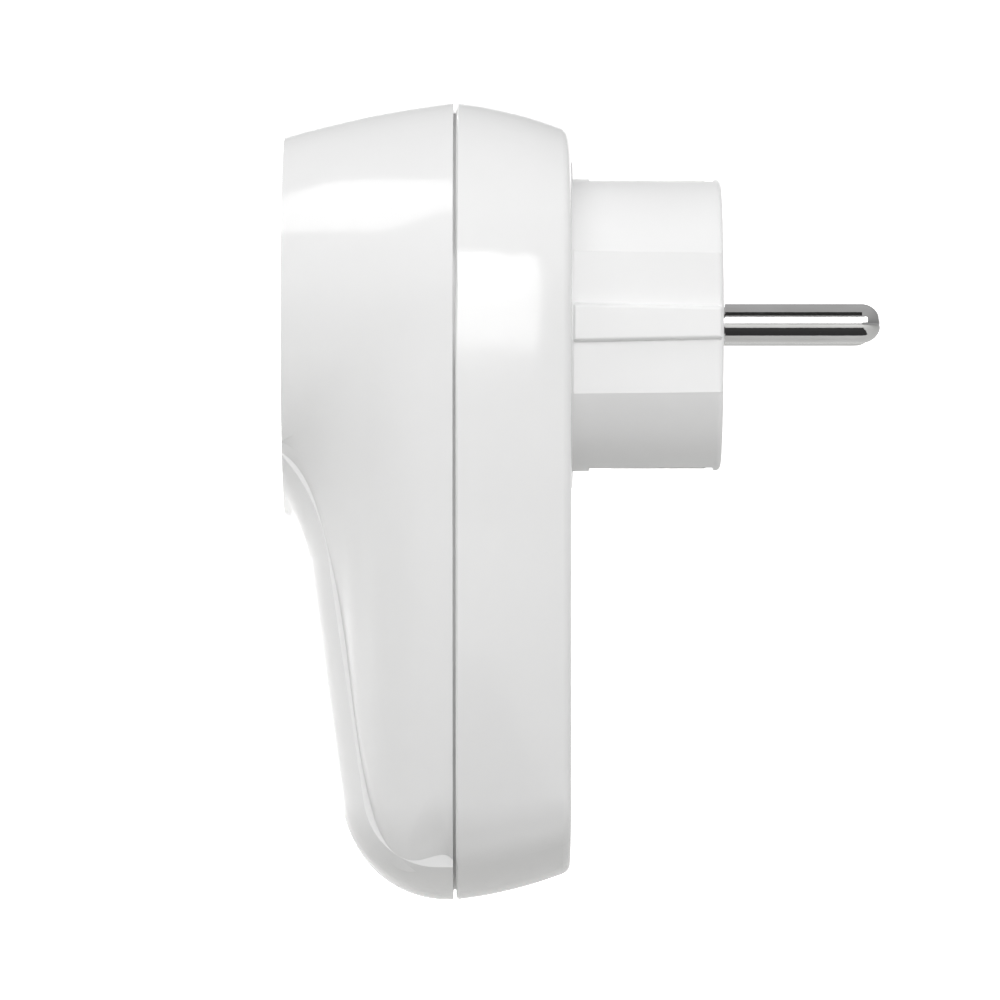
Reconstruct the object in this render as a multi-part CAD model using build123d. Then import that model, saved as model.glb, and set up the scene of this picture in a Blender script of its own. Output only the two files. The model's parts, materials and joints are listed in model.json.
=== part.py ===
from build123d import *
from math import atan2, cos, degrees, hypot, radians, sin, sqrt, tan
import os

# Plug-in power meter, in millimetres. +Z is up, the socket and display face -Y, the pins point along +Y.
# The origin is the middle of the plug's end face, on the axis that plug and socket share.
# "Depth" is the distance forward (towards -Y) of the seam between the two shells.

# ---- driving dimensions ----
SEAM_Y = -32.8
PIN_LENGTH = 19.0
PIN_RADIUS = 2.4
PIN_SPACING = 19.0
SEAM_GAP = 0.36
SEAM_BEVEL = 0.25
WALL = 1.9

# case outline at the seam: tangent arcs
TOP_RADIUS = 27.5
SIDE_RADIUS = 180.0
SIDE_START = 4.64
CORNER_RADIUS = 13.0
BOTTOM_RADIUS = 31.0
CASE_BOTTOM = -70.4
BACK_DEPTH = -14.1
BACK_INSET = 3.5

# collar and well
COLLAR_FACE = 21.8
COLLAR_CROWN = 280.0
RIM_RADIUS = 23.3
WELL_RADIUS = 19.75
WELL_RIM = 20.9
WELL_DEPTH = 17.5
CUP_RADIUS = 21.2
WELL_FLOOR = WELL_RIM - WELL_DEPTH
CUP_BACK = WELL_FLOOR - 1.8

# apron that carries the display and the buttons
APRON_HALF_WIDTH = 17.0
APRON_FLAT = 12.0
APRON_DROP = 2.7
APRON_TILT = 8.3
APRON_MIDDLE_Z = -40.0
APRON_MIDDLE_DEPTH = 16.27
APRON_CORNER = 12.5
APRON_STATIONS = (4.0, 8.0, 11.0, 12.5, 14.0, 15.5)

# plug
PLUG_RADIUS = 17.95
PLUG_FLAT = 15.75
PLATEAU_RADIUS = 20.0
PLATEAU_DEPTH = -14.35
PLUG_FACE_DEPTH = SEAM_Y
PIN_SHANK_RADIUS = 2.0

# shoulders of the front shell: depth, angle where the round top ends, side radius,
# height where the lower corner starts, height where it runs under the apron
SHOULDER_STATIONS = [
    (0.0, 4.64, 180.0, -58.0, -66.2),
    (4.0, 4.0, 180.0, -57.5, -66.2),
    (8.0, 0.0, 250.0, -58.0, -64.9),
    (10.5, -6.0, 600.0, -53.0, -58.9),
    (12.2, -10.0, 1500.0, -44.0, -51.0),
    (13.8, -14.0, 1500.0, -33.0, -39.0),
    (15.4, -18.5, 1500.0, -25.0, -30.5),
    (17.0, -24.5, 1500.0, -20.0, -24.0),
    (19.0, -33.0, 1500.0, -16.0, -19.5),
    (22.5, -38.0, 60.0, -15.4, -17.0),
]
HEM_X = 15.5

# buttons
BUTTON_PITCH = 8.4
BUTTON_WIDTH = 6.6
BUTTON_HEIGHT = 4.4
BUTTON_V = -14.6
BUTTON_GAP = 0.3

# display
WINDOW_WIDTH = 23.6
WINDOW_HEIGHT = 17.0
WINDOW_V = 1.2
LCD_FRONT = -2.4
BOARD_W = -9.2
BOARD_THICKNESS = 1.2

# depths of the contact stack behind the well floor
SHUTTER_FRONT = CUP_BACK - 0.2
SHUTTER_THICKNESS = 1.4
SHUTTER_TURN = 40.0
CARRIER_FRONT = -0.2
CARRIER_BACK = -2.0
SLEEVE_BACK = -17.0
SLEEVE_BORE = 2.48
SLEEVE_RADIUS = 3.5
STRIP = 1.2
EARTH_STRIP = 0.8
EARTH_WIDTH = 6.5

# boards and screws
MAIN_BOARD_FRONT = -5.0
MAIN_BOARD_BACK = -6.6
REAR_WALL = -12.1
UPPER_SCREW = (20.3, -25.5)
LOWER_SCREW = (11.5, -60.0)
CASE_SCREW_SEAT = -9.5

def at(x, depth, z):
    return Vector(x, SEAM_Y - depth, z)


def collar_radius(depth):
    """Outer radius of the round part of the front shell at a depth."""
    return TOP_RADIUS - 0.1104 * depth - 0.00448 * depth**2


def arc(centre, radius, start, end, depth):
    """Arc in the plane at a depth, with angles in degrees from +X towards +Z."""
    angles = [radians(start), radians((start + end) / 2), radians(end)]
    return ThreePointArc(*[at(centre[0] + radius * cos(a), depth, centre[1] + radius * sin(a)) for a in angles])


def both_sides(edges):
    return edges + [mirror(edge, about=Plane.YZ) for edge in edges]


def case_outline(depth, inset=0.0):
    """Egg outline of the case at the seam, moved inwards by the inset."""
    start = radians(SIDE_START)
    side = ((TOP_RADIUS - SIDE_RADIUS) * cos(start), (TOP_RADIUS - SIDE_RADIUS) * sin(start))
    bottom = (0.0, CASE_BOTTOM + BOTTOM_RADIUS)
    side_reach = SIDE_RADIUS - CORNER_RADIUS
    bottom_reach = BOTTOM_RADIUS - CORNER_RADIUS
    span = hypot(side[0], bottom[1] - side[1])
    unit = (-side[0] / span, (bottom[1] - side[1]) / span)
    along = (side_reach**2 - bottom_reach**2 + span**2) / (2 * span)
    across = sqrt(side_reach**2 - along**2)
    corner = (side[0] + along * unit[0] + across * unit[1], side[1] + along * unit[1] - across * unit[0])
    side_end = degrees(atan2(corner[1] - side[1], corner[0] - side[0]))
    corner_end = degrees(atan2(corner[1] - bottom[1], corner[0]))
    top_arc = arc((0, 0), TOP_RADIUS - inset, SIDE_START, 180 - SIDE_START, depth)
    side_arc = arc(side, SIDE_RADIUS - inset, SIDE_START, side_end, depth)
    corner_arc = arc(corner, CORNER_RADIUS - inset, side_end, corner_end, depth)
    bottom_arc = arc(bottom, BOTTOM_RADIUS - inset, corner_end, -180 - corner_end, depth)
    return make_face([top_arc, bottom_arc] + both_sides([side_arc, corner_arc]))


def case_slab(low_depth, high_depth, inset):
    """Straight slab with the case outline between two depths."""
    return extrude(case_outline(low_depth, inset), high_depth - low_depth, dir=(0, -1, 0))


def shoulder_section(station, wall=0.0):
    """Section of the shoulders at one station; its flat bottom lies under the apron."""
    depth, start, side_radius, corner_z, hem_z = station
    radius = collar_radius(depth)
    centre = ((radius - side_radius) * cos(radians(start)), (radius - side_radius) * sin(radians(start)))
    drop = (corner_z - centre[1]) / side_radius
    end = degrees(atan2(drop, sqrt(1 - drop**2)))
    inset = 0.85 * wall
    level = depth - wall
    top_arc = arc((0, 0), radius - inset, start, 180 - start, level)
    side_arc = arc(centre, side_radius - inset, start, end, level)
    hem = at(HEM_X - inset, level, hem_z + inset)
    tangent = (sin(radians(end)), 0, -cos(radians(end)))
    corner_arc = TangentArc(side_arc @ 1, hem, tangent=tangent)
    bottom = Line(hem, at(inset - HEM_X, level, hem_z + inset))
    return make_face([top_arc, bottom] + both_sides([side_arc, corner_arc]))


def shoulders(wall=0.0):
    return loft([shoulder_section(station, wall) for station in SHOULDER_STATIONS])


def apron_drop(x):
    """How far the face falls back outside the flat middle of the apron."""
    outside = max(0.0, abs(x) - APRON_FLAT)
    return APRON_DROP * (outside / (APRON_HALF_WIDTH - APRON_FLAT)) ** 2


def apron_profile(x, wall=0.0):
    """Side profile of the apron at a distance from its centre line."""
    share = (x / APRON_HALF_WIDTH) ** 2
    slope = tan(radians(APRON_TILT))
    level = APRON_MIDDLE_DEPTH - apron_drop(x)

    def face_depth(z):
        return level + (z - APRON_MIDDLE_Z) * slope

    rim_z = -sqrt(RIM_RADIUS**2 - x**2) + 0.4
    rim = (21.3, rim_z)
    start_z = rim_z - 6.2 - 6.0 * share
    start = (face_depth(start_z), start_z)
    corner = APRON_CORNER - 3.5 * share
    base_z = CASE_BOTTOM + x**2 / (2 * BOTTOM_RADIUS)
    centre_z = base_z + corner
    tilt = radians(APRON_TILT)
    centre_depth = face_depth(centre_z) - corner / cos(tilt)
    touch = (centre_depth + corner * cos(tilt), centre_z - corner * sin(tilt))
    bend = radians(-(90 + APRON_TILT) / 2)
    middle = (centre_depth + corner * cos(bend), centre_z + corner * sin(bend))

    def place(pair):
        return at(x, pair[0] - wall, pair[1] + 0.85 * wall)

    outer = (22.9, rim_z + 0.2)
    edges = [
        Line(place(outer), place(rim)),
        TangentArc(place(start), place(rim), tangent=(0, -sin(tilt), cos(tilt))),
        Line(place(start), place(touch)),
        ThreePointArc(place(touch), place(middle), place((centre_depth, base_z))),
        Line(place((centre_depth, base_z)), place((0, base_z))),
        Line(place((0, base_z)), place((0, -58))),
        Line(place((0, -58)), place((8, -12))),
        Line(place((8, -12)), place((22.9, -12))),
        Line(place((22.9, -12)), place(outer)),
    ]
    return make_face(edges)


def apron(half_width, wall=0.0):
    places = [x for x in APRON_STATIONS if x < half_width] + [half_width]
    mirrored = [-x for x in reversed(places)]
    return loft([apron_profile(x, wall) for x in mirrored + places])


def slab(x_low, x_high, depth_low, depth_high, z_low, z_high):
    """Box between two depths."""
    size = (x_high - x_low, depth_high - depth_low, z_high - z_low)
    corner = Pos(x_low, SEAM_Y - depth_high, z_low)
    return corner * Box(*size, align=(Align.MIN, Align.MIN, Align.MIN))


def rod(x, z, radius, depth_low, depth_high):
    """Cylinder along the plug axis between two depths."""
    base = Plane(origin=at(x, depth_low, z), x_dir=(1, 0, 0), z_dir=(0, -1, 0))
    low_end = (Align.CENTER, Align.CENTER, Align.MIN)
    return base * Cylinder(radius, depth_high - depth_low, align=low_end)


def polar(radius, angle):
    return (radius * cos(radians(angle)), radius * sin(radians(angle)))


def spot(radius, angle, depth):
    """Point at a radius and angle around the plug axis."""
    x, z = polar(radius, angle)
    return at(x, depth, z)


TILT = radians(APRON_TILT)
APRON_PLANE = Plane(
    origin=at(0, APRON_MIDDLE_DEPTH, APRON_MIDDLE_Z),
    x_dir=(1, 0, 0),
    z_dir=(0, -cos(TILT), -sin(TILT)),
)


def prism(outline, low, high):
    """Prism square to the apron; heights are measured outwards from its middle."""
    return APRON_PLANE * extrude(Pos(0, 0, low) * outline, high - low)


def stud(u, v, radius, low, high):
    return prism(Pos(u, v) * Circle(radius), low, high)


# ---- housings ----
def window_outline(margin=0.0):
    size = (WINDOW_WIDTH + 2 * margin, WINDOW_HEIGHT + 2 * margin)
    return Pos(0, WINDOW_V) * RectangleRounded(*size, 2.0 + margin)


def button_outline(index, margin=0.0):
    size = (BUTTON_WIDTH + 2 * margin, BUTTON_HEIGHT + 2 * margin)
    return Pos(index * BUTTON_PITCH, BUTTON_V) * SlotOverall(*size)


def display_posts():
    return [(-13.5, 14.2), (13.5, 14.2), (-14.8, -10.2), (14.8, -10.2)]


def case_screw_places():
    return [(side * x, z) for x, z in (UPPER_SCREW, LOWER_SCREW) for side in (-1, 1)]


def front_shell():
    outer = shoulders() + apron(APRON_HALF_WIDTH)
    dome = Pos(0, SEAM_Y - COLLAR_FACE + COLLAR_CROWN, 0) * Sphere(COLLAR_CROWN)
    outer = outer & dome
    cavity = shoulders(WALL) + apron(APRON_HALF_WIDTH - 2.0, WALL)
    cavity = cavity & slab(-40, 40, -5, 18.9, -80, 40)
    shell = outer - cavity
    shell -= slab(-40, 40, -1, SEAM_GAP / 2, -80, 40)
    shell -= case_slab(-1, 1.7, 1.1)
    for x, z in case_screw_places():
        start = WELL_FLOOR if z == UPPER_SCREW[1] else 0.5
        shell += rod(x, z, 3.0, start, 16) & outer
        shell -= rod(x, z, 1.45, start, 9.5)
    for u, v in display_posts():
        post = stud(u, v, 1.6, BOARD_W, 0)
        shell += post & outer
        shell -= stud(u, v, 0.85, BOARD_W, -4.5)
    shell -= rod(0, 0, CUP_RADIUS + 0.1, 0, 25)
    shell -= prism(window_outline(0.1), -1.15, 3)
    shell -= prism(window_outline(-1.4), -9, 3)
    for index in (-1, 0, 1):
        shell -= prism(button_outline(index, BUTTON_GAP), -9, 3)
    return shell


def rear_shell():
    stations = ((-SEAM_GAP / 2, 0.0), (-6.5, 1.1), (BACK_DEPTH, BACK_INSET))
    outer = loft([case_outline(depth, inset) for depth, inset in stations])
    outer = fillet(outer.faces().sort_by(Axis.Y)[-1].edges(), 1.5)
    outer = chamfer(outer.faces().sort_by(Axis.Y)[0].edges(), SEAM_BEVEL)
    cavity = loft([case_outline(max(depth, REAR_WALL), inset + WALL) for depth, inset in stations])
    shell = outer - cavity
    shell += case_slab(-2.5, 1.5, 1.2) - case_slab(-3, 2, 2.2)
    for x, z in case_screw_places():
        top = CUP_BACK if z == UPPER_SCREW[1] else 0.4
        shell += rod(x, z, 3.0, REAR_WALL, top) + (rod(x, z, 3.9, REAR_WALL, CASE_SCREW_SEAT + 1.5) & outer)
        shell -= rod(x, z, 2.75, -20, CASE_SCREW_SEAT)
        shell -= rod(x, z, 1.6, -20, top)
    for x, z in main_board_posts():
        shell += rod(x, z, 2.2, REAR_WALL, MAIN_BOARD_BACK)
        shell -= rod(x, z, 0.85, REAR_WALL + 1, MAIN_BOARD_BACK)
    shell -= rod(0, 0, PLATEAU_RADIUS + 0.15, -20, REAR_WALL + 1)
    label = extrude(RectangleRounded(24, 20, 2), 1)
    shell -= Plane(origin=at(0, BACK_DEPTH - 0.7, -41), x_dir=(1, 0, 0), z_dir=(0, -1, 0)) * label
    return shell


def socket_insert():
    cup = rod(0, 0, CUP_RADIUS, CUP_BACK, WELL_RIM) - rod(0, 0, WELL_RADIUS, WELL_FLOOR, 30)
    lead_in = cup.faces().sort_by(Axis.Y)[0].inner_wires()[0].edges()
    cup = chamfer(lead_in, 0.6)
    for side in (-1, 1):
        guide = slab(16.1, 20.5, WELL_FLOOR, 18.4, -8.2, 8.2) & rod(0, 0, 20.0, 0, 30)
        guide -= slab(15, 17.3, WELL_FLOOR, 30, -2.5, 2.5)
        cup += guide if side > 0 else mirror(guide, about=Plane.YZ)
        ear = make_face(Polyline(
            at(side * 12, CUP_BACK, -14), at(side * 19, CUP_BACK, -8), at(side * 23.3, CUP_BACK, -25.5),
            at(side * 17.3, CUP_BACK, -25.5), close=True))
        cup += extrude(ear, WELL_FLOOR - CUP_BACK, dir=(0, -1, 0)) - rod(0, 0, 20, 0, 30)
        cup += rod(side * UPPER_SCREW[0], UPPER_SCREW[1], 3.0, CUP_BACK, WELL_FLOOR)
        cup -= rod(side * UPPER_SCREW[0], UPPER_SCREW[1], 1.6, CUP_BACK, WELL_FLOOR)
        cup -= rod(side * PIN_SPACING / 2, 0, 2.9, 0, 10)
        earth_slot = (17.9, 19.6) if side > 0 else (-19.6, -17.9)
        cup -= slab(-3.5, 3.5, 0, WELL_FLOOR, *earth_slot)
    for x, z in carrier_screw_places():
        cup -= rod(x, z, 0.85, CUP_BACK, 2.7)
    return cup


# ---- plug ----
def plug_body():
    barrel_back = PLATEAU_DEPTH
    base = Plane(origin=at(0, barrel_back, 0), z_dir=(0, 1, 0), x_dir=(1, 0, 0))
    length = barrel_back - PLUG_FACE_DEPTH
    up = (Align.CENTER, Align.CENTER, Align.MIN)
    barrel = base * Cone(PLUG_RADIUS, PLUG_RADIUS - 0.1, length, align=up)
    barrel = barrel & slab(-PLUG_FLAT, PLUG_FLAT, -60, 0, -30, 30)
    crown = Pos(0, -520, 0) * Sphere(520)
    barrel = barrel & crown
    barrel = fillet(barrel.faces().sort_by(Axis.Y)[-1].edges(), 0.7)
    rib = guide_rib()
    barrel += rib + mirror(rib, about=Plane.YZ)
    plug = barrel + rod(0, 0, PLATEAU_RADIUS, PLATEAU_DEPTH, REAR_WALL)
    plug += rod(0, 0, PLATEAU_RADIUS + 1.5, REAR_WALL, REAR_WALL + 1.5)
    hollow = rod(0, 0, 15.4, PLUG_FACE_DEPTH + 4, 0) & slab(-13.6, 13.6, -40, 0, -20, 20)
    plug -= hollow
    for side in (-1, 1):
        plug -= rod(side * PIN_SPACING / 2, 0, PIN_SHANK_RADIUS, -60, 0)
        recess = slab(-3.6, 3.6, -31.6, -16.4, 16.6, 19)
        passage = slab(-3.6, 3.6, -19.6, -16.4, 13, 19)
        strip_room = recess + passage
        plug -= strip_room if side > 0 else mirror(strip_room, about=Plane.XY)
    return plug


def guide_rib():
    """Rib along the flat of the plug, narrower at the top and towards the end face."""
    low, high = PLUG_FACE_DEPTH + 0.5, PLATEAU_DEPTH

    def section(depth, half, top):
        root = PLUG_FLAT - 0.6
        corners = [(root, -half - 0.5), (top, -half), (top, half), (root, half + 0.5)]
        return make_face(Polyline(*[at(x, depth, z) for x, z in corners], close=True))

    rib = loft([section(low, 1.75, PLUG_FLAT + 0.85), section(high, 2.1, PLUG_FLAT + 1.0)])
    return fillet(rib.edges().filter_by(lambda edge: edge.center().X > PLUG_FLAT + 0.7), 0.3)


def pin(side):
    x = side * PIN_SPACING / 2
    inner_end = -20.2 if side < 0 else -18.2
    shank = rod(x, 0, PIN_SHANK_RADIUS, PLUG_FACE_DEPTH, inner_end)
    shank += rod(x, 0, PIN_RADIUS, PLUG_FACE_DEPTH - PIN_LENGTH + PIN_RADIUS, PLUG_FACE_DEPTH)
    tip = Pos(x, PIN_LENGTH - PIN_RADIUS, 0) * Sphere(PIN_RADIUS)
    flange = rod(x, 0, 3.6, PLUG_FACE_DEPTH + 4, PLUG_FACE_DEPTH + 5.5)
    return shank + tip + flange


# ---- contacts and shutter ----
def carrier_screw_places():
    return [polar(15.3, angle) for angle in (45, 135, 225, 315)]


def contact_carrier():
    carrier = rod(0, 0, 17.0, CARRIER_BACK, CARRIER_FRONT)
    carrier += rod(0, 0, 2.5, CARRIER_FRONT, CUP_BACK)
    for side in (-1, 1):
        x = side * PIN_SPACING / 2
        carrier += rod(x, 0, 5.0, -9.0, CARRIER_BACK)
        carrier -= rod(x, 0, SLEEVE_RADIUS + 0.1, -9.0, CARRIER_BACK)
        carrier -= rod(x, 0, 2.9, CARRIER_BACK, CARRIER_FRONT)
    for x, z in carrier_screw_places():
        carrier += rod(x, z, 1.5, CARRIER_FRONT, CUP_BACK)
        carrier -= rod(x, z, 0.85, CARRIER_BACK, CUP_BACK)
    post = polar(12.0, 72)
    carrier += rod(*post, 0.7, CARRIER_FRONT, SHUTTER_FRONT - 0.1)
    return carrier


def shutter():
    low = SHUTTER_FRONT - SHUTTER_THICKNESS
    disc = rod(0, 0, 13.2, low, SHUTTER_FRONT) - rod(0, 0, 2.6, low, SHUTTER_FRONT)
    for angle in (SHUTTER_TURN, SHUTTER_TURN + 180):
        x, z = polar(PIN_SPACING / 2, angle)
        disc -= rod(x, z, 3.0, low, SHUTTER_FRONT)
    wedge = make_face(Polyline(at(0, low, 0), *[spot(20, angle, low) for angle in (66, 95, 124)], close=True))
    notch = extrude(wedge, SHUTTER_THICKNESS, dir=(0, -1, 0)) - rod(0, 0, 10.5, low - 1, SHUTTER_FRONT + 1)
    return disc - notch


def shutter_spring():
    """Flat zigzag wire that pushes the shutter closed against the carrier's post."""
    turns = 8
    points = []
    for step in range(turns + 1):
        radius = 12.0 + (0.75 if step % 2 else -0.75)
        points.append(spot(radius, 79 + step * 5.1, 0.7))
    path = FilletPolyline(*points, radius=0.25)
    start = Plane(origin=path @ 0, z_dir=path % 0)
    return sweep(start * Circle(0.2), path=path)


def contact(side):
    x = side * PIN_SPACING / 2
    sleeve = rod(x, 0, SLEEVE_RADIUS, SLEEVE_BACK, CARRIER_BACK)
    return sleeve - rod(x, 0, SLEEVE_BORE, SLEEVE_BACK + 0.8, CARRIER_BACK)


def contact_rings():
    rings = []
    for side in (-1, 1):
        for depth in (-11.0, -14.0):
            ring = rod(side * PIN_SPACING / 2, 0, 4.0, depth, depth + 0.9)
            ring -= rod(side * PIN_SPACING / 2, 0, SLEEVE_RADIUS, depth, depth + 0.9)
            opening = slab(side * PIN_SPACING / 2 - 0.5, side * PIN_SPACING / 2 + 0.5, -16, -9, 0, 6)
            rings.append(ring - opening)
    return rings


def strip(path, x_low, x_high, thickness, bend=1.0):
    """Bent metal strip: a path of (depth, height) pairs, thickened and given its width."""
    line = FilletPolyline(*path, radius=bend)
    outline = trace(line, line_width=thickness)
    side_plane = Plane(origin=(x_low, SEAM_Y, 0), x_dir=(0, -1, 0), z_dir=(-1, 0, 0))
    return side_plane * extrude(outline, -(x_high - x_low))


def earth_bracket(side):
    """Spring clip in the well, a run through the case, and the side contact of the plug."""
    path = [
        (17.2, 18.9), (11.0, 18.2), (4.6, 18.9), (-3.6, 18.9), (-9.2, 14.3), (-17.2, 14.3),
        (-18.6, 17.2), (-30.6, 17.2),
    ]
    path = [(depth, side * z) for depth, z in path]
    return strip(path, -EARTH_WIDTH / 2, EARTH_WIDTH / 2, EARTH_STRIP)


def busbars():
    plate_x = -PIN_SPACING / 2
    input_bar = strip([(-19.6, 3.0), (-19.6, -10.0), (-9.4, -10.0), (-9.4, -20.0)], plate_x - 1.5,
                      plate_x + 2.5, STRIP)
    output_bar = strip([(-17.6, 3.0), (-17.6, -7.6), (-7.0, -7.6), (-7.0, -20.0)], plate_x - 1.5,
                       plate_x + 2.5, STRIP)
    neutral_bar = strip([(-17.6, 3.0), (-17.6, -7.6), (-7.0, -7.6), (-7.0, -12.0)], 7.0, 11.0, STRIP)
    shunt = slab(plate_x - 1.5, plate_x + 2.5, -8.8, -7.6, -19.0, -14.0)
    return {
        "line_busbar": input_bar,
        "line_output_busbar": output_bar,
        "neutral_busbar": neutral_bar,
        "measuring_shunt": shunt,
    }


def wire(points):
    path = FilletPolyline(*[at(*point) for point in points], radius=1.3)
    start = Plane(origin=path @ 0, z_dir=path % 0)
    return sweep(start * Circle(0.6), path=path)


def supply_wires():
    """Three insulated leads from the power bars down to the terminal block."""
    return {
        "line_wire": wire([(-9.0, -9.4, -20.6), (-9.0, -9.4, -22.2), (-9.0, -2.5, -22.8), (-9.0, -2.5, -25.0)]),
        "sense_wire": wire([(-7.6, -7.0, -20.6), (-5.5, -7.0, -21.4), (-4.0, -2.5, -22.6), (-4.0, -2.5, -25.0)]),
        "neutral_wire": wire([(9.0, -7.0, -12.6), (9.0, -7.0, -21.6), (8.0, -2.5, -22.8), (8.0, -2.5, -25.0)]),
    }


# ---- circuit ----
def main_board_posts():
    return [(-13.8, -29.5), (13.8, -29.5), (0.0, -53.0)]


def main_board():
    board = slab(-16.6, 16.6, MAIN_BOARD_BACK, MAIN_BOARD_FRONT, -56.0, -24.0)
    board = fillet(board.edges().filter_by(Axis.Y), 1.0)
    for x, z in main_board_posts():
        board -= rod(x, z, 1.1, -10, 0)
    return board


def terminal_block():
    block = slab(-11.5, 10.5, MAIN_BOARD_FRONT, 0.4, -31.0, -25.0)
    for x in (-9.0, -4.0, 8.0):
        block -= rod(x, -28.0, 1.5, -1.5, 0.4)
    return block


def metering_chip():
    chip = slab(-8.0, 8.0, -9.2, -6.9, -38.5, -31.0)
    for index in range(12):
        x = -7.0 + index * 14.0 / 11
        chip += slab(x - 0.2, x + 0.2, -6.9, MAIN_BOARD_BACK, -40.2, -38.0)
        chip += slab(x - 0.2, x + 0.2, -6.9, MAIN_BOARD_BACK, -31.5, -29.3)
    chip += slab(-7.5, 7.5, -7.2, -6.75, -38.6, -30.9)
    return chip


def dropper_capacitor():
    body = slab(-15.5, 1.5, MAIN_BOARD_FRONT, 3.0, -45.5, -32.5)
    return fillet(body.edges(), 0.6)


def filter_capacitor():
    can = rod(8.0, -38.0, 4.0, MAIN_BOARD_FRONT, 3.4)
    can = fillet(can.faces().sort_by(Axis.Y)[0].edges(), 0.6)
    groove = rod(8.0, -38.0, 5.0, -4.2, -3.6) - rod(8.0, -38.0, 3.7, -4.2, -3.6)
    return can - groove


def leaded_disc(x, z, radius, thickness):
    """Disc on two leads, standing on the main board."""
    centre = MAIN_BOARD_FRONT + 1.0 + radius
    disc = Plane(origin=at(x, centre, z), z_dir=(1, 0, 0)) * Cylinder(radius, thickness)
    disc = fillet(disc.edges().filter_by(GeomType.CIRCLE), 0.7)
    for offset in (-1.8, 1.8):
        disc += rod(x, z + offset, 0.35, MAIN_BOARD_FRONT, centre)
    return disc


def fusible_resistor():
    centre = MAIN_BOARD_FRONT + 2.2
    body = Pos(*at(13.5, centre, -47.5)) * Cylinder(1.5, 7.0)
    body = fillet(body.edges().filter_by(GeomType.CIRCLE), 0.5)
    lead = FilletPolyline(
        at(13.5, MAIN_BOARD_FRONT, -42.2), at(13.5, centre, -42.2), at(13.5, centre, -52.8),
        at(13.5, MAIN_BOARD_FRONT, -52.8), radius=0.8)
    start = Plane(origin=lead @ 0, z_dir=lead % 0)
    return body + sweep(start * Circle(0.32), path=lead)


def backup_battery():
    cell = rod(-7.0, -47.5, 5.7, -10.9, -7.6)
    return fillet(cell.edges().filter_by(GeomType.CIRCLE), 0.35)


def battery_clip():
    clip = strip([(MAIN_BOARD_BACK - 0.2, -42.0), (MAIN_BOARD_BACK - 0.2, -41.2), (-11.3, -41.2),
                  (-11.3, -49.5)], -9.5, -4.5, 0.4, bend=0.3)
    base = slab(-9.5, -4.5, -7.6, MAIN_BOARD_BACK, -50.5, -44.5)
    return [clip, base]


def display_board():
    board = prism(Pos(0, -0.8) * RectangleRounded(33.2, 34.0, 1.0), BOARD_W - BOARD_THICKNESS, BOARD_W)
    for u, v in display_posts():
        board -= stud(u, v, 1.1, -20, 0)
    return board


def lcd_frame():
    frame = prism(Pos(0, WINDOW_V) * RectangleRounded(24.6, 18.6, 1.0), BOARD_W, LCD_FRONT)
    frame -= prism(Pos(0, WINDOW_V) * Rectangle(22.8, 16.3), BOARD_W, LCD_FRONT - 0.4)
    return frame - prism(Pos(0, WINDOW_V) * RectangleRounded(20.4, 13.4, 0.8), BOARD_W, LCD_FRONT)


def lcd_glass():
    return prism(Pos(0, WINDOW_V) * Rectangle(22.4, 15.9), LCD_FRONT - 2.2, LCD_FRONT - 0.4)


def zebra_strips():
    places = (WINDOW_V - 6.6, WINDOW_V + 6.6)
    return [prism(Pos(0, v) * Rectangle(20.0, 1.6), BOARD_W, LCD_FRONT - 2.2) for v in places]


def display_window():
    return prism(window_outline(), -1.12, -0.12)


def switch_bodies():
    bodies = []
    for index in (-1, 0, 1):
        centre = (index * BUTTON_PITCH, BUTTON_V)
        body = prism(Pos(*centre) * RectangleRounded(5.8, 5.8, 0.6), BOARD_W, -6.0)
        bodies.append(body - stud(*centre, 1.75, -8.5, -6.0))
    return bodies


def button(index):
    cap = prism(button_outline(index), -2.6, -0.05)
    cap = fillet(cap.faces().sort_by(Axis.Y)[0].edges(), 0.3)
    cap += prism(button_outline(index, 0.7), -3.2, -2.45)
    return cap + stud(index * BUTTON_PITCH, BUTTON_V, 1.3, -5.5, -2.9)


def plunger(index):
    return stud(index * BUTTON_PITCH, BUTTON_V, 1.7, -7.6, -5.5)


def controller_chip():
    low = BOARD_W - BOARD_THICKNESS
    return prism(Pos(-2, 1) * RectangleRounded(11.0, 11.0, 1.5), low - 1.3, low)


def crystal():
    low = BOARD_W - BOARD_THICKNESS
    return prism(Pos(9, 4) * RectangleRounded(8.0, 3.4, 1.6), low - 1.6, low)


def board_link():
    header = slab(-7.0, 7.0, MAIN_BOARD_FRONT, 3.0, -50.6, -48.2)
    for index in range(6):
        header += slab(-6.3 + index * 2.4, -5.7 + index * 2.4, 3.0, 4.2, -49.7, -49.1)
    return header


# ---- fasteners ----
def screw(x, z, head_radius, shank_radius, seat, tip, head):
    """Pan-head screw with a cross recess; its head is behind the seat."""
    body = rod(x, z, head_radius, seat - head, seat) + rod(x, z, shank_radius, seat, tip)
    slot = head_radius * 1.2
    for width, height in ((slot, 0.25 * slot), (0.25 * slot, slot)):
        body -= slab(x - width / 2, x + width / 2, seat - head, seat - head / 2, z - height / 2, z + height / 2)
    return body


def case_screws():
    return [screw(x, z, 2.5, 1.4, CASE_SCREW_SEAT, 9.0, 1.7) for x, z in case_screw_places()]


def carrier_screws():
    return [screw(x, z, 1.5, 0.8, CARRIER_BACK, 2.6, 1.0) for x, z in carrier_screw_places()]


def main_board_screws():
    screws = []
    for x, z in main_board_posts():
        body = rod(x, z, 2.0, MAIN_BOARD_FRONT, MAIN_BOARD_FRONT + 1.1)
        screws.append(body + rod(x, z, 0.8, -10.8, MAIN_BOARD_FRONT))
    return screws


def display_board_screws():
    back = BOARD_W - BOARD_THICKNESS
    return [stud(u, v, 1.7, back - 1.0, back) + stud(u, v, 0.8, back, -4.8) for u, v in display_posts()]


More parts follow.
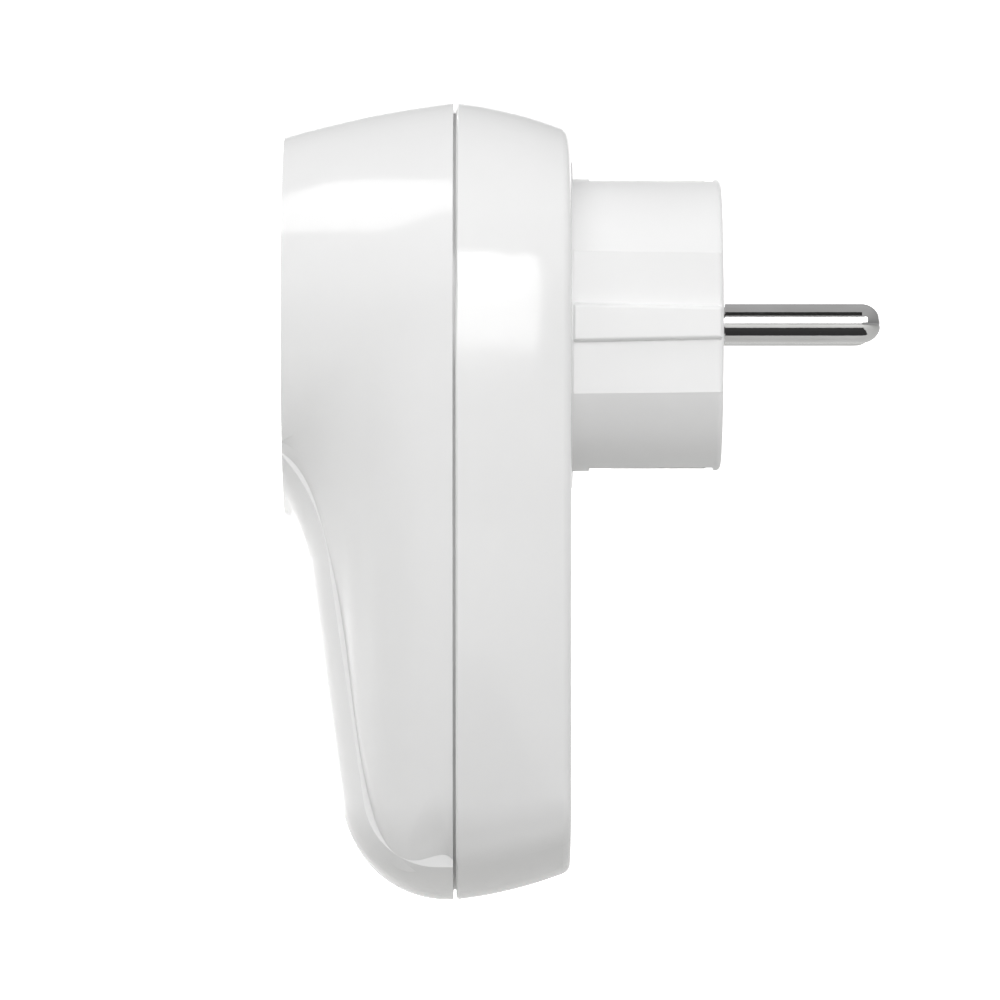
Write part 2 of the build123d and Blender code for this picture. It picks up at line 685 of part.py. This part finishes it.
def nodes():
    shapes = {
        "front_shell": front_shell(),
        "rear_shell": rear_shell(),
        "socket_insert": socket_insert(),
        "plug_body": plug_body(),
        "line_pin": pin(-1),
        "neutral_pin": pin(1),
        "contact_carrier": contact_carrier(),
        "shutter": shutter(),
        "shutter_spring": shutter_spring(),
        "line_contact": contact(-1),
        "neutral_contact": contact(1),
        "contact_rings": contact_rings(),
        "upper_earth_bracket": earth_bracket(1),
        "lower_earth_bracket": earth_bracket(-1),
        "earth_link": slab(-2.5, 2.5, -3.2, -2.4, -18.5, 18.5),
        "main_board": main_board(),
        "terminal_block": terminal_block(),
        "metering_chip": metering_chip(),
        "dropper_capacitor": dropper_capacitor(),
        "filter_capacitor": filter_capacitor(),
        "varistor": leaded_disc(14.0, -36.0, 3.6, 2.6),
        "fusible_resistor": fusible_resistor(),
        "backup_battery": backup_battery(),
        "battery_clip": battery_clip(),
        "display_board": display_board(),
        "lcd_frame": lcd_frame(),
        "lcd_glass": lcd_glass(),
        "zebra_strips": zebra_strips(),
        "display_window": display_window(),
        "controller_chip": controller_chip(),
        "crystal": crystal(),
        "board_link": board_link(),
        "switch_bodies": switch_bodies(),
        "case_screws": case_screws(),
        "carrier_screws": carrier_screws(),
        "main_board_screws": main_board_screws(),
        "display_board_screws": display_board_screws(),
    }
    shapes.update(busbars())
    shapes.update(supply_wires())
    for index, name in enumerate(("mode", "up", "down"), start=-1):
        shapes[name + "_button"] = button(index)
        shapes[name + "_plunger"] = plunger(index)
    return shapes


def write_nodes():
    os.makedirs("parts", exist_ok=True)
    for name, shape in nodes().items():
        if isinstance(shape, list):
            shape = Compound(children=shape)
        export_step(shape, f"parts/{name}.step")


write_nodes()
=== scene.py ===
import json
import math

import bmesh
import bpy
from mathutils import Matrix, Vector


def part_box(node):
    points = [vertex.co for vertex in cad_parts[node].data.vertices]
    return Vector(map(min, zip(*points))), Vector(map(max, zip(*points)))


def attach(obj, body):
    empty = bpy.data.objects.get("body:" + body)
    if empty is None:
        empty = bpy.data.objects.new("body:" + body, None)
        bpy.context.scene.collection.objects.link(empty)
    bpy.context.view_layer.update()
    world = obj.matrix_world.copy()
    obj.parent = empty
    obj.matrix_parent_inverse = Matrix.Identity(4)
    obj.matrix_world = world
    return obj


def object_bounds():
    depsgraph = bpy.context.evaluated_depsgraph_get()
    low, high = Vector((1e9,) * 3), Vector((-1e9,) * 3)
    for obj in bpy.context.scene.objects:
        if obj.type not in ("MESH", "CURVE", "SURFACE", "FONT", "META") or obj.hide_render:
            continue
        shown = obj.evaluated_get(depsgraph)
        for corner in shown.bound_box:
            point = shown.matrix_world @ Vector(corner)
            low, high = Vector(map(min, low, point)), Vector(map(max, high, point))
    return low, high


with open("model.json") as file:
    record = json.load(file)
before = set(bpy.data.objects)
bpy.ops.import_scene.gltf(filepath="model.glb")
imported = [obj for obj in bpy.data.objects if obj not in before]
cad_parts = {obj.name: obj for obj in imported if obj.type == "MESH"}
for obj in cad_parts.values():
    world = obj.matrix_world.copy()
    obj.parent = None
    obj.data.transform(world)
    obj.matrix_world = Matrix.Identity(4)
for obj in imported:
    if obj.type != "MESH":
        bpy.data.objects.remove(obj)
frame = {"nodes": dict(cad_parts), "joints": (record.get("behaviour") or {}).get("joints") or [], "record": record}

cad_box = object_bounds()
nodes = frame["nodes"]
MM = 0.001

# light: directions are turned from +X towards +Y, and lifted from the floor, in degrees;
# then distance, width and height in metres, and radiance against a white of 1
LIGHT_AIM = Vector((0, -0.03, -0.02))
SOFTBOXES = {
    "overhead_softbox": (-50, 62, 1.0, 0.50, 0.44, 2.8),
    "side_softbox": (14, 22, 1.0, 0.77, 0.52, 4.4),
    "far_side_softbox": (-132, 8, 1.0, 0.90, 0.90, 4.2),
}
# black cards, in metres: the low one lies over the floor beside the object (x, y ranges and height
# over the floor), the high one hangs over it (direction, distance, width and height)
LOW_CARD = ((0.045, 0.32), (-0.07, 0.10), 0.006)
HIGH_CARD = (4, 57, 0.50, 0.14, 0.20)
CARD_BLACK = (0.02, 0.02, 0.02)

# tent of light round the stage: (height from 0 at the nadir to 1 at the zenith, radiance)
TENT_GROUND = (0.35, 1.3)
TENT_HORIZON = (0.52, 0.29)
TENT_SKY = (0.9, 0.52)
WHITE_TO_CAMERA = 1.05

# stage, in metres
FLOOR_BELOW = 0.088
FLOOR_REACH = 3.0
FLOOR_COLOUR = (0.66, 0.66, 0.65)
BACKDROP_X = -1.2
BACKDROP_HALF_WIDTH = 1.6
BACKDROP_TOP = 0.5
BACKDROP_COLOUR = (0.8, 0.8, 0.8)
BACKDROP_LIGHT = 1.05
PAINT_ROUGHNESS = 0.9

# camera: lens and sensor in millimetres, width of the view in heights of the case
LENS = 300
SENSOR_WIDTH = 36
VIEW_WIDTH_IN_CASES = 1.2535
AIM_BEFORE_PLUG_FACE = 27.3 * MM

# print: thickness over its face, and how far it reaches into it
DIGIT_THICKNESS = 0.03 * MM
SYMBOL_THICKNESS = 0.02 * MM
PRINT_ROOT = 0.01 * MM
FACE_TOLERANCE = 0.02 * MM
BAR_THICKNESS = 0.13
DIGIT_PITCH = 1.5


# ---------------------------------------------------------------- material building blocks
def new_material(name):
    material = bpy.data.materials.new(name)
    material.use_nodes = True
    tree = material.node_tree
    shader = tree.nodes["Principled BSDF"]
    return material, tree, shader


def add_noise(tree, feature, detail=3.0, stretch=(1, 1, 1)):
    """Noise in object space with features of a size in metres; returns its value socket."""
    place = tree.nodes.new("ShaderNodeTexCoord")
    mapping = tree.nodes.new("ShaderNodeMapping")
    mapping.inputs["Scale"].default_value = stretch
    noise = tree.nodes.new("ShaderNodeTexNoise")
    noise.inputs["Scale"].default_value = 1.0 / feature
    noise.inputs["Detail"].default_value = detail
    noise.inputs["Roughness"].default_value = 0.5
    tree.links.new(place.outputs["Object"], mapping.inputs["Vector"])
    tree.links.new(mapping.outputs["Vector"], noise.inputs["Vector"])
    return noise.outputs["Fac"]


def map_value(tree, value, low, high):
    node = tree.nodes.new("ShaderNodeMapRange")
    node.inputs["From Min"].default_value = 0.3
    node.inputs["From Max"].default_value = 0.7
    node.inputs["To Min"].default_value = low
    node.inputs["To Max"].default_value = high
    tree.links.new(value, node.inputs["Value"])
    return node.outputs["Result"]


def mix_colours(tree, value, first, second):
    ramp = tree.nodes.new("ShaderNodeValToRGB")
    ramp.color_ramp.elements[0].position = 0.3
    ramp.color_ramp.elements[0].color = (*first, 1)
    ramp.color_ramp.elements[1].position = 0.7
    ramp.color_ramp.elements[1].color = (*second, 1)
    tree.links.new(value, ramp.inputs["Fac"])
    return ramp.outputs["Color"]


def add_bump(tree, shader, value, height):
    bump = tree.nodes.new("ShaderNodeBump")
    bump.inputs["Strength"].default_value = 1.0
    bump.inputs["Distance"].default_value = height
    tree.links.new(value, bump.inputs["Height"])
    tree.links.new(bump.outputs["Normal"], shader.inputs["Normal"])


def surface(name, dark, light, feature, rough, grain, bump, metallic=0.0, stretch=(1, 1, 1), ior=1.5):
    """Moulded, cast or drawn surface: mottled colour, uneven gloss and fine relief."""
    material, tree, shader = new_material(name)
    broad = add_noise(tree, feature, stretch=stretch)
    tree.links.new(mix_colours(tree, broad, dark, light), shader.inputs["Base Color"])
    fine = add_noise(tree, grain, detail=4.0, stretch=stretch)
    tree.links.new(map_value(tree, fine, *rough), shader.inputs["Roughness"])
    add_bump(tree, shader, fine, bump)
    shader.inputs["Metallic"].default_value = metallic
    shader.inputs["IOR"].default_value = ior
    return material


def white_plastic(name, level, rough=(0.10, 0.15), grain=1.1 * MM, bump=0.0008 * MM):
    """Neutral plastic of a given lightness, glossy unless said otherwise."""
    dark = (0.985 * level, 0.985 * level, 0.985 * level)
    light = (level, level, level)
    return surface(name, dark, light, 12 * MM, rough, grain, bump, ior=1.52)


def metal(name, dark, light, rough, stretch=(1, 1, 1), bump=0.002 * MM):
    return surface(name, dark, light, 3 * MM, rough, 0.25 * MM, bump, metallic=1.0, stretch=stretch)


def simple(name, dark, light, rough=(0.4, 0.55)):
    """Satin part between two close colours."""
    return surface(name, dark, light, 2.5 * MM, rough, 0.2 * MM, 0.004 * MM)


# ---------------------------------------------------------------- materials, by material slot
def plastics():
    return {
        "shell": white_plastic("shell_white", 0.84),
        "plug_plastic": white_plastic("plug_white", 0.86, (0.30, 0.36), 0.35 * MM, 0.0006 * MM),
        "socket_plastic": white_plastic("socket_white", 0.82, (0.16, 0.22)),
        "shutter_plastic": white_plastic("shutter_white", 0.70, (0.30, 0.40)),
        "carrier_plastic": white_plastic("carrier_natural", 0.66, (0.35, 0.45)),
        "button_plastic": white_plastic("button_grey", 0.30, (0.28, 0.36)),
        "plunger": simple("grey_plunger", (0.08, 0.08, 0.085), (0.12, 0.12, 0.125)),
        "window": clear_window(),
    }


def clear_window():
    window, tree, shader = new_material("clear_window")
    fine = add_noise(tree, 4 * MM)
    tint = mix_colours(tree, fine, (0.93, 0.96, 0.94), (0.98, 0.99, 0.98))
    tree.links.new(tint, shader.inputs["Base Color"])
    tree.links.new(map_value(tree, fine, 0.02, 0.06), shader.inputs["Roughness"])
    shader.inputs["Transmission Weight"].default_value = 1.0
    shader.inputs["IOR"].default_value = 1.49
    return window


def metals():
    return {
        "nickel": metal("nickel", (0.62, 0.615, 0.61), (0.70, 0.70, 0.70), (0.03, 0.06), (1, 0.35, 1)),
        "brass": metal("brass", (0.62, 0.44, 0.18), (0.78, 0.58, 0.28), (0.22, 0.36)),
        "spring_steel": metal("spring_steel", (0.42, 0.42, 0.43), (0.55, 0.55, 0.55), (0.2, 0.34)),
        "earth_metal": metal("earth_metal", (0.55, 0.54, 0.52), (0.66, 0.65, 0.63), (0.2, 0.3),
                             (1, 0.15, 1), 0.0006 * MM),
        "manganin": metal("manganin", (0.40, 0.27, 0.19), (0.52, 0.36, 0.26), (0.3, 0.45)),
        "screw": metal("zinc_screw", (0.48, 0.49, 0.50), (0.62, 0.62, 0.62), (0.24, 0.4)),
        "battery": metal("battery_can", (0.50, 0.50, 0.51), (0.62, 0.62, 0.63), (0.2, 0.32)),
        "crystal_can": metal("crystal_can", (0.48, 0.48, 0.49), (0.60, 0.60, 0.61), (0.2, 0.35)),
    }


def electronics():
    return {
        "circuit_board": simple("solder_mask", (0.008, 0.06, 0.025), (0.015, 0.10, 0.04), (0.25, 0.4)),
        "chip": simple("black_epoxy", (0.010, 0.010, 0.011), (0.022, 0.022, 0.024)),
        "capacitor_film": simple("yellow_box", (0.50, 0.33, 0.035), (0.60, 0.42, 0.06)),
        "capacitor_can": simple("dark_sleeve", (0.006, 0.008, 0.02), (0.012, 0.015, 0.035), (0.2, 0.3)),
        "varistor": simple("blue_dip", (0.01, 0.04, 0.22), (0.02, 0.06, 0.30), (0.3, 0.42)),
        "resistor": simple("green_coat", (0.13, 0.26, 0.20), (0.20, 0.36, 0.28)),
        "header": simple("black_header", (0.008, 0.008, 0.008), (0.02, 0.02, 0.02)),
        "terminal": simple("green_terminal", (0.02, 0.11, 0.03), (0.03, 0.16, 0.05)),
        "switch": simple("black_switch", (0.010, 0.010, 0.011), (0.022, 0.022, 0.024)),
        "zebra": simple("zebra_rubber", (0.40, 0.34, 0.28), (0.55, 0.48, 0.42)),
        "lcd_frame": simple("black_bezel", (0.010, 0.010, 0.011), (0.02, 0.02, 0.02)),
        "lcd": simple("lcd_grey", (0.25, 0.29, 0.22), (0.28, 0.32, 0.25), (0.12, 0.18)),
        "wire_brown": simple("brown_pvc", (0.05, 0.02, 0.008), (0.08, 0.03, 0.012)),
        "wire_blue": simple("blue_pvc", (0.01, 0.05, 0.28), (0.015, 0.07, 0.35)),
        "wire_black": simple("black_pvc", (0.01, 0.01, 0.01), (0.02, 0.02, 0.02)),
    }


def dress_nodes():
    made = {**plastics(), **metals(), **electronics()}
    for entry in frame["record"]["subparts"]:
        piece = nodes[entry["node"]]
        piece.data.materials.clear()
        piece.data.materials.append(made[entry["material_slot"]])


# ---------------------------------------------------------------- print on the display and buttons
BUTTON_JOINT = next(joint for joint in frame["joints"] if joint["name"] == "mode_button_press")
APRON_INWARDS = Vector(BUTTON_JOINT["axis"])
APRON_OUTWARDS = -APRON_INWARDS.normalized()
APRON_UP = Vector((1, 0, 0)).cross(APRON_INWARDS).normalized()

# bars of a seven-segment digit, named clockwise from the top with g across the middle
SEGMENTS = {"0": "abcdef", "2": "abdeg", "3": "abcdg", "4": "bcfg"}


def front_of(node):
    """Middle of the outermost face of a node, seen square to the apron."""
    corners = [vertex.co for vertex in nodes[node].data.vertices]
    level = max(corner.dot(APRON_OUTWARDS) for corner in corners)
    rim = [corner for corner in corners if corner.dot(APRON_OUTWARDS) > level - FACE_TOLERANCE]
    across = [corner.x for corner in rim]
    along = [corner.dot(APRON_UP) for corner in rim]
    middle = Vector(((min(across) + max(across)) / 2, 0, 0))
    return middle + APRON_UP * (min(along) + max(along)) / 2 + APRON_OUTWARDS * level


def add_prism(mesh, outline, centre, thickness):
    """Closed prism on a face; the outline is a list of (across, up) points in millimetres."""
    rings = []
    for height in (-PRINT_ROOT, thickness):
        base = centre + APRON_OUTWARDS * height
        places = [base + Vector((u * MM, 0, 0)) + APRON_UP * v * MM for u, v in outline]
        rings.append([mesh.verts.new(place) for place in places])
    mesh.faces.new(rings[0])
    mesh.faces.new(list(reversed(rings[1])))
    for index in range(len(outline)):
        after = (index + 1) % len(outline)
        mesh.faces.new((rings[0][index], rings[1][index], rings[1][after], rings[0][after]))


def print_shapes(name, outlines, centre, thickness, material, body):
    mesh = bmesh.new()
    for outline in outlines:
        add_prism(mesh, outline, centre, thickness)
    bmesh.ops.recalc_face_normals(mesh, faces=mesh.faces)
    data = bpy.data.meshes.new(name)
    mesh.to_mesh(data)
    mesh.free()
    data.materials.append(material)
    piece = bpy.data.objects.new(name, data)
    bpy.context.scene.collection.objects.link(piece)
    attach(piece, body)


def segment(start, end, thickness):
    """Bar with pointed ends between two points."""
    unit = (Vector(end) - Vector(start)).normalized()
    side = Vector((-unit.y, unit.x)) * thickness / 2
    first, last = Vector(start) + unit * thickness * 0.6, Vector(end) - unit * thickness * 0.6
    gap = thickness * 0.1
    tip_a, tip_b = Vector(start) + unit * gap, Vector(end) - unit * gap
    return [tuple(p) for p in (tip_a, first - side, last - side, tip_b, last + side, first + side)]


def digit(character, left, low, width, height):
    """Outlines of one seven-segment digit."""
    right, top, middle = left + width, low + height, low + height / 2
    bars = {
        "a": ((left, top), (right, top)),
        "b": ((right, middle), (right, top)),
        "c": ((right, low), (right, middle)),
        "d": ((left, low), (right, low)),
        "e": ((left, low), (left, middle)),
        "f": ((left, middle), (left, top)),
        "g": ((left, middle), (right, middle)),
    }
    return [segment(*bars[name], BAR_THICKNESS * height) for name in SEGMENTS[character]]


def full_stop(next_left, low, width, height):
    """Square dot in the gap before the next digit."""
    left, base = next_left - 0.34 * width, low - 0.06 * height
    side = 0.12 * height
    return [(left, base), (left + side, base), (left + side, base + side), (left, base + side)]


def number(text, left, low, width, height):
    """Outlines of a row of digits; a full stop takes no width of its own."""
    outlines = []
    for character in text:
        if character == ".":
            outlines.append(full_stop(left, low, width, height))
        else:
            outlines += digit(character, left, low, width, height)
            left += DIGIT_PITCH * width
    return outlines


def disc(radius, corners=28):
    turns = [2 * math.pi * index / corners for index in range(corners)]
    return [(radius * math.cos(turn), radius * math.sin(turn)) for turn in turns]


def build_prints():
    """A voltage over a power reading on the display, and a plain symbol on each button."""
    ink = simple("lcd_ink", (0.012, 0.014, 0.013), (0.022, 0.024, 0.022), (0.3, 0.4))
    rows = number("230.4", -4.2, 2.2, 1.35, 2.8) + number("0.000", -7.6, -4.6, 2.7, 5.2)
    print_shapes("lcd_digits", rows, front_of("lcd_glass"), DIGIT_THICKNESS, ink, "root")
    white = simple("symbol_white", (0.70, 0.70, 0.70), (0.78, 0.78, 0.78))
    symbols = {
        "mode_button": disc(0.62),
        "up_button": [(-0.85, -0.5), (0.85, -0.5), (0.0, 0.75)],
        "down_button": [(-0.85, 0.5), (0.0, -0.75), (0.85, 0.5)],
    }
    for button, outline in symbols.items():
        print_shapes(button + "_symbol", [outline], front_of(button), SYMBOL_THICKNESS, white, button)


# ---------------------------------------------------------------- stage
def stage_plane(name, corners, colour, glow=0.0):
    mesh = bmesh.new()
    mesh.faces.new([mesh.verts.new(corner) for corner in corners])
    data = bpy.data.meshes.new(name)
    mesh.to_mesh(data)
    mesh.free()
    plane = bpy.data.objects.new(name, data)
    bpy.context.scene.collection.objects.link(plane)
    material = bpy.data.materials.new(name + "_paint")
    material.use_nodes = True
    shader = material.node_tree.nodes["Principled BSDF"]
    shader.inputs["Base Color"].default_value = (*colour, 1)
    shader.inputs["Roughness"].default_value = PAINT_ROUGHNESS
    shader.inputs["Emission Color"].default_value = (1, 1, 1, 1)
    shader.inputs["Emission Strength"].default_value = glow
    data.materials.append(material)
    return plane


def build_stage():
    level = cad_box[0][2] - FLOOR_BELOW
    back, reach, half = BACKDROP_X, FLOOR_REACH, BACKDROP_HALF_WIDTH
    floor = [(back, -reach, level), (reach, -reach, level), (reach, reach, level), (back, reach, level)]
    stage_plane("floor", floor, FLOOR_COLOUR)
    top = BACKDROP_TOP
    backdrop = [(back, -half, level), (back, half, level), (back, half, top), (back, -half, top)]
    stage_plane("backdrop", backdrop, BACKDROP_COLOUR, BACKDROP_LIGHT)


# ---------------------------------------------------------------- light
def direction(azimuth, elevation):
    turn, lift = math.radians(azimuth), math.radians(elevation)
    return Vector((math.cos(lift) * math.cos(turn), math.cos(lift) * math.sin(turn), math.sin(lift)))


def black_card(name, corners):
    card = stage_plane(name, corners, CARD_BLACK)
    card.visible_camera = False
    card.visible_shadow = False


def build_cards():
    """Black cards just outside the frame: they give the polished pins their dark bands."""
    (near, far), (left, right), lift = LOW_CARD
    level = cad_box[0][2] - FLOOR_BELOW + lift
    low = [(near, left, level), (far, left, level), (far, right, level), (near, right, level)]
    black_card("low_card", low)
    azimuth, elevation, distance, width, height = HIGH_CARD
    away = direction(azimuth, elevation)
    side = away.cross(Vector((0, 0, 1))).normalized() * width / 2
    up = away.cross(side).normalized() * height / 2
    middle = LIGHT_AIM + away * distance
    black_card("high_card", [middle - side - up, middle + side - up, middle + side + up, middle - side + up])


def grey(level):
    return (level, level, level, 1)


def build_world():
    """White to the camera; to everything else a tent of light, dimmest at the horizon."""
    world = bpy.data.worlds.new("studio")
    world.use_nodes = True
    tree = world.node_tree
    background = tree.nodes["Background"]
    place = tree.nodes.new("ShaderNodeTexCoord")
    split = tree.nodes.new("ShaderNodeSeparateXYZ")
    tree.links.new(place.outputs["Generated"], split.inputs["Vector"])
    height = tree.nodes.new("ShaderNodeMapRange")
    height.inputs["From Min"].default_value = -1.0
    tree.links.new(split.outputs["Z"], height.inputs["Value"])
    ramp = tree.nodes.new("ShaderNodeValToRGB")
    elements = ramp.color_ramp.elements
    elements[0].position = TENT_GROUND[0]
    elements[0].color = grey(TENT_GROUND[1])
    elements[1].position = TENT_SKY[0]
    elements[1].color = grey(TENT_SKY[1])
    middle = elements.new(TENT_HORIZON[0])
    middle.color = grey(TENT_HORIZON[1])
    tree.links.new(height.outputs["Result"], ramp.inputs["Fac"])
    rays = tree.nodes.new("ShaderNodeLightPath")
    mix = tree.nodes.new("ShaderNodeMix")
    mix.data_type = "RGBA"
    mix.inputs["B"].default_value = grey(WHITE_TO_CAMERA)
    tree.links.new(rays.outputs["Is Camera Ray"], mix.inputs["Factor"])
    tree.links.new(ramp.outputs["Color"], mix.inputs["A"])
    tree.links.new(mix.outputs["Result"], background.inputs["Color"])
    bpy.context.scene.world = world


def softbox(name, place, size, radiance):
    light = bpy.data.lights.new(name, "AREA")
    light.shape = "RECTANGLE"
    light.size, light.size_y = size
    light.energy = radiance * size[0] * size[1] * math.pi
    lamp = bpy.data.objects.new(name, light)
    bpy.context.scene.collection.objects.link(lamp)
    lamp.location = place
    lamp.rotation_euler = (LIGHT_AIM - place).to_track_quat("-Z", "Y").to_euler()


def build_light():
    build_world()
    for name, (azimuth, elevation, distance, width, height, radiance) in SOFTBOXES.items():
        softbox(name, LIGHT_AIM + direction(azimuth, elevation) * distance, (width, height), radiance)
    bpy.context.scene.view_settings.view_transform = "Standard"


# ---------------------------------------------------------------- camera
def build_camera():
    """Exact side view with a long lens; the height and depth of the case set the framing."""
    low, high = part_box("rear_shell")
    plug_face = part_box("plug_body")[1].y
    aim = Vector((0, plug_face - AIM_BEFORE_PLUG_FACE, (low.z + high.z) / 2))
    camera = bpy.data.cameras.new("camera")
    camera.lens = LENS
    camera.sensor_width = SENSOR_WIDTH
    camera.clip_end = 20
    distance = (high.z - low.z) * VIEW_WIDTH_IN_CASES * LENS / SENSOR_WIDTH
    holder = bpy.data.objects.new("camera", camera)
    bpy.context.scene.collection.objects.link(holder)
    holder.location = aim + Vector((distance, 0, 0))
    holder.rotation_euler = (math.pi / 2, 0, math.pi / 2)
    bpy.context.scene.camera = holder


build_camera()
dress_nodes()
build_prints()
build_stage()
build_cards()
build_light()
